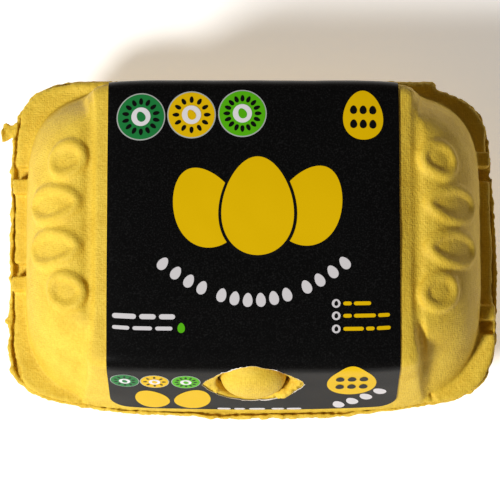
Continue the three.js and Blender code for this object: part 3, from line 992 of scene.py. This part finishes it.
def label_piece(surface, paper, torn):
    flat, faces = filled([label_outline(), window_outline(0, 0.3)], LABEL_SPACING)
    outer = on_label(surface, flat, LABEL_THICKNESS)
    inner = on_label(surface, flat, 0)
    sides = np.vstack([faces[:, [0, 1]], faces[:, [1, 2]], faces[:, [2, 0]]])
    _, first, uses = np.unique(np.sort(sides, axis=1), axis=0, return_index=True, return_counts=True)
    rim = sides[first[uses == 1]]
    count = len(flat)
    walls = np.vstack([np.column_stack([rim[:, 1], rim[:, 0], rim[:, 0] + count]),
                       np.column_stack([rim[:, 1], rim[:, 0] + count, rim[:, 1] + count])])
    every_face = np.vstack([faces, faces[:, ::-1] + count, walls])
    piece = mesh_object("label_sheet", np.vstack([outer, inner]), every_face, paper)
    piece.data.materials.append(torn)
    kinds = np.zeros(2 * len(faces) + len(walls), np.int32)
    kinds[2 * len(faces):] = 1
    piece.data.polygons.foreach_set("material_index", kinds)
    piece.data.set_sharp_from_angle(angle=math.radians(LABEL_SHARP))
    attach(piece, "root")
    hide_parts("label")


# Print: plain shapes of one colour, each a thin layer on the label
EGG_TAPER = 0.16


class Print:
    """Shapes of one colour, gathered into one piece."""

    def __init__(self, name, material, layer):
        self.name = name
        self.material = material
        self.lift = LABEL_THICKNESS + PRINT_LIFT * layer
        self.spots = []
        self.faces = []
        self.count = 0

    def add(self, *outlines):
        """A filled outline with holes, in X and place."""
        points, faces = filled(list(outlines), PRINT_SPACING)
        self.spots.append(points)
        self.faces.append(faces + self.count)
        self.count += len(points)

    def finish(self, surface):
        spots = on_label(surface, np.vstack(self.spots), self.lift)
        piece = mesh_object(self.name, spots, np.vstack(self.faces), self.material)
        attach(piece, "root")


def moved(shape, middle, degrees=0):
    """A shape in plan, turned and moved to its place."""
    turn = math.radians(degrees)
    across = shape[:, 0] * math.cos(turn) - shape[:, 1] * math.sin(turn)
    along = shape[:, 0] * math.sin(turn) + shape[:, 1] * math.cos(turn)
    return np.column_stack([across + middle[0], along + middle[1]])


def egg(half_width, half_height, count=40):
    turns = np.linspace(0, 2 * math.pi, count, endpoint=False)
    width = half_width * (1 - EGG_TAPER * np.sin(turns)) * np.cos(turns)
    return np.column_stack([width, half_height * np.sin(turns)])


def disc(radius, count=40):
    turns = np.linspace(0, 2 * math.pi, count, endpoint=False)
    return radius * np.column_stack([np.cos(turns), np.sin(turns)])


def bar(length, height):
    ends = np.linspace(-math.pi / 2, math.pi / 2, 5)
    right = np.column_stack([np.cos(ends), np.sin(ends)]) * height / 2 + (length / 2 - height / 2, 0)
    return np.vstack([right, -right])


# Where a shape lies
ON_TOP = "top"
ON_FLAP = "flap"

# Layout of the print: a group of eggs, a row of small ones, short bars, and eggs on the flap
EGG_GROUP = (((-14.6, 8.2), (9.6, 12.6), 24), ((17.2, 8.8), (9.6, 12.6), -24))
EGG_FRONT = ((1.3, 8.6), (10.8, 15.0))
EGG_FRONT_RIM = 0.9
EGG_ROW = (-0.97, -0.83, -0.69, -0.55, -0.34, -0.2, -0.06, 0.08, 0.22, 0.36, 0.57, 0.71, 0.85, 0.98)
ROW_HALF = 28.0
ROW_MIDDLE = -19.9
ROW_RISE = 11.6
ROW_BEND = 1.9
LEFT_BARS_X = -42.3
RIGHT_SPOTS_X = 24.8
RIGHT_BARS_X = 26.9
LEFT_BARS = ((-24.9, 1.55, (7.2, 5.0, 4.9)), (-28.4, 1.15, (5.2, 5.9, 5.2)))
RIGHT_BARS = ((-20.9, (2.6, 5.2)), (-24.6, (2.6, 6.6, 3.6)), (-28.5, (6.2, 2.6, 4.2)))
FLAP_BARS = ((-9.0, 4.2), (-4.2, 3.4), (1.2, 5.0), (7.6, 4.0), (12.6, 4.6))
FLAP_EGGS = (((-31.2, 9.2), (5.0, 6.4), 24), ((-18.4, 9.6), (5.4, 6.8), -20))

# Colours of the inks and of torn paper
INK_RIM = (178, 184, 178)
INK_GREEN = (32, 126, 61)
INK_GOLD = (232, 189, 4)
INK_LIME = (86, 182, 16)
INK_YELLOW = (232, 189, 0)
INK_DARK = (14, 14, 14)
INK_WHITE = (216, 213, 215)
INK_CENTRE = (232, 230, 232)
PAPER_CORE = (236, 232, 226)
CORE_ROUGHNESS = 0.9


def laid(shape, where):
    """A shape given in plan, or along the front wall, as X and place."""
    if where == ON_TOP:
        return np.column_stack([shape[:, 0], place_at(shape[:, 1])])
    return shape


def badge(inks, ink, middle, size, where, petals):
    """A round spot of colour with a pale rim, a ring of dark eggs, and an egg in a white middle."""
    def put(layer, shape):
        inks[layer].add(laid(moved(shape * size, middle), where))

    put("rim", disc(7.35, 60))
    put(ink, disc(7.0, 60))
    petal = moved(egg(0.62, 1.05, 16), (0, 4.75))
    for i in range(petals):
        put("dark", moved(petal, (0, 0), 360 * i / petals))
    put("centre", disc(2.9, 32))
    put(ink + "_mark", moved(egg(1.25, 1.65, 24), (0, 0), 25))


def crate(inks, middle, size, where):
    """A yellow egg with a block of six small dark ones."""
    inks["yellow"].add(laid(moved(egg(6 * size, 7.65 * size, 56), middle), where))
    for column in (-1, 0, 1):
        for row in (-1, 1):
            spot = (middle[0] + 2.9 * size * column, middle[1] + size * (2.2 * row - 0.6))
            inks["dark"].add(laid(moved(egg(1.05 * size, 1.35 * size, 24), spot), where))


def bar_row(ink, x, y, height, lengths, gap):
    """Short bars side by side, from the left end of their row."""
    for length in lengths:
        ink.add(laid(moved(bar(length, height), (x + length / 2, y)), ON_TOP))
        x += length + gap


def top_print(inks):
    badge(inks, "green", (-34, 36.05), 1, ON_TOP, 14)
    badge(inks, "gold", (-18.7, 36.55), 1, ON_TOP, 12)
    badge(inks, "lime", (-3.3, 36.95), 1, ON_TOP, 16)
    crate(inks, (33.2, 36.55), 1, ON_TOP)

    for middle, size, degrees in EGG_GROUP:
        inks["yellow"].add(laid(moved(egg(*size, 72), middle, degrees), ON_TOP))
    middle, (half_width, half_height) = EGG_FRONT
    behind = egg(half_width + EGG_FRONT_RIM, half_height + EGG_FRONT_RIM, 72)
    inks["dark"].add(laid(moved(behind, middle), ON_TOP))
    inks["front_yellow"].add(laid(moved(egg(half_width, half_height, 72), middle), ON_TOP))

    for place in EGG_ROW:
        spot = (ROW_HALF * place, ROW_MIDDLE + ROW_RISE * abs(place) ** ROW_BEND)
        slope = ROW_RISE * ROW_BEND * abs(place) ** (ROW_BEND - 1) * math.copysign(1, place)
        lean = math.degrees(math.atan2(slope, ROW_HALF))
        inks["white"].add(laid(moved(egg(1.45, 2.1, 28), spot, lean), ON_TOP))

    for y, height, lengths in LEFT_BARS:
        bar_row(inks["white"], LEFT_BARS_X, y, height, lengths, 0.9)
    inks["lime"].add(laid(moved(egg(1.1, 1.5, 24), (-21.6, -28.2)), ON_TOP))

    for y, lengths in RIGHT_BARS:
        inks["white"].add(laid(moved(disc(1.3, 28), (RIGHT_SPOTS_X, y)), ON_TOP))
        inks["dark"].add(laid(moved(egg(0.55, 0.75, 20), (RIGHT_SPOTS_X, y)), ON_TOP))
        bar_row(inks["yellow"], RIGHT_BARS_X, y, 1.15, lengths, 0.6)


def flap_print(inks):
    badge(inks, "green", (-38.9, 22.0), 0.6, ON_FLAP, 10)
    badge(inks, "gold", (-29.9, 22.0), 0.6, ON_FLAP, 8)
    badge(inks, "lime", (-20.4, 22.0), 0.6, ON_FLAP, 12)
    crate(inks, (29.8, 21.9), 1.23, ON_FLAP)
    for middle, size, degrees in FLAP_EGGS:
        inks["yellow"].add(moved(egg(*size, 60), middle, degrees))
    for i in range(4):
        middle = (26.2 + 4.1 * i, 5.2 + 1.9 * i + 0.35 * i * i)
        inks["white"].add(moved(egg(1.7, 2.5, 28), middle, 22 + 5 * i))
    for x, length in FLAP_BARS:
        inks["white"].add(moved(bar(length, 1.2), (x, 2.75)))


def window_fringe(ink):
    """White torn paper round the window, wide in some places and gone in others."""
    inner = window_outline(-0.05, 0.3)
    spots = np.column_stack([inner, np.zeros(len(inner))])
    width = np.clip(0.8 * noise(spots, 3.1, 83) + 0.5 * noise(spots, 1.0, 84) - 0.2, 0.04, 0.4)
    away = inner - (0, LATCH_PLACE)
    away = away / np.hypot(*away.T)[:, None]
    ink.add(inner + away * width[:, None], inner)


def label_print(surface):
    rows = (
        ("rim", "print_rims", INK_RIM, 1),
        ("green", "print_green", INK_GREEN, 2),
        ("gold", "print_gold", INK_GOLD, 2),
        ("lime", "print_lime", INK_LIME, 2),
        ("yellow", "print_yellow", INK_YELLOW, 1),
        ("dark", "print_dark", INK_DARK, 3),
        ("front_yellow", "print_front_egg", INK_YELLOW, 4),
        ("white", "print_white", INK_WHITE, 1),
        ("centre", "print_centres", INK_CENTRE, 4),
        ("green_mark", "print_green_mark", INK_GREEN, 5),
        ("gold_mark", "print_gold_mark", INK_GOLD, 5),
        ("lime_mark", "print_lime_mark", INK_LIME, 5),
    )
    inks = {key: Print(name, ink_material("ink_" + key, colour), layer) for key, name, colour, layer in rows}
    top_print(inks)
    flap_print(inks)
    torn = Print("torn_paper", ink_material("paper_core", PAPER_CORE, CORE_ROUGHNESS), 1)
    window_fringe(torn)
    for ink in [*inks.values(), torn]:
        ink.finish(surface)


# Camera, floor and lights, in metres
CAMERA_LENS = 184.6
CAMERA_TILT = 7.5
CAMERA_DISTANCE = 0.77
CAMERA_TARGET = (-0.001, -0.00475, 0.070)
KEY_PLACE = (-1.12, -0.86, 1.52)
KEY_TARGET = (0, 0, 0.05)
KEY_SIZE = 0.38
KEY_POWER = 44
FLOOR_HALF = 3.0
FLOOR_COLOUR = (0.9, 0.9, 0.9, 1)
FLOOR_TINT = (1, 0.94, 0.86, 1)
FLOOR_GLOW = 0.45
WORLD_LOW = (0.48, 0.38, 0.31, 1)
WORLD_HIGH = (0.06, 0.045, 0.035, 1)
WORLD_STRENGTH = 0.5


def aim(thing, place, target):
    thing.location = place
    thing.rotation_euler = (Vector(target) - Vector(place)).to_track_quat("-Z", "Y").to_euler()


def camera():
    lens = bpy.data.cameras.new("camera")
    lens.lens = CAMERA_LENS
    lens.clip_end = 10
    made = added("camera", lens)
    tilt = math.radians(CAMERA_TILT)
    target = Vector(CAMERA_TARGET)
    place = target + CAMERA_DISTANCE * Vector((0, -math.sin(tilt), math.cos(tilt)))
    aim(made, place, target)
    bpy.context.scene.camera = made


def floor():
    half = FLOOR_HALF / MM
    corners = [(-half, -half, 0), (half, -half, 0), (half, half, 0), (-half, half, 0)]
    material, _, shader = new_material("floor_paper")
    set_inputs(shader, {"Base Color": FLOOR_COLOUR, "Roughness": 0.8})
    set_inputs(shader, {"Emission Color": FLOOR_TINT, "Emission Strength": FLOOR_GLOW})
    made = mesh_object("floor", corners, [(0, 1, 2, 3)], material)


def lighting():
    light = bpy.data.lights.new("key", "AREA")
    light.shape = "RECTANGLE"
    light.size = light.size_y = KEY_SIZE
    light.energy = KEY_POWER
    aim(added("key", light), KEY_PLACE, KEY_TARGET)
    world = bpy.data.worlds.new("studio")
    world.use_nodes = True
    tree = world.node_tree
    height = tree.nodes.new("ShaderNodeSeparateXYZ")
    tree.links.new(tree.nodes.new("ShaderNodeTexCoord").outputs["Generated"], height.inputs[0])
    sky = tree.nodes["Background"]
    two_tone(tree, height.outputs["Z"], (0.15, WORLD_LOW), (0.7, WORLD_HIGH), sky.inputs["Color"])
    set_inputs(sky, {"Strength": WORLD_STRENGTH})
    bpy.context.scene.world = world


camera()
floor()
lighting()
bpy.context.scene.view_settings.view_transform = "Standard"

pulp = pulp_material()
lid_grid, lid_values, shell_values = lid_field()
lid_piece = pulp_piece("lid_pulp", [(lid_grid, lid_values)], pulp)
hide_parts("lid")
tray_piece = pulp_piece("tray_pulp", [cups_field(), rim_field(), latch_field()], pulp)
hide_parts("tray")
shell = (lid_grid, shell_values)
label_piece(shell, paper_material(), ink_material("paper_core_edge", PAPER_CORE, CORE_ROUGHNESS))
label_print(shell)
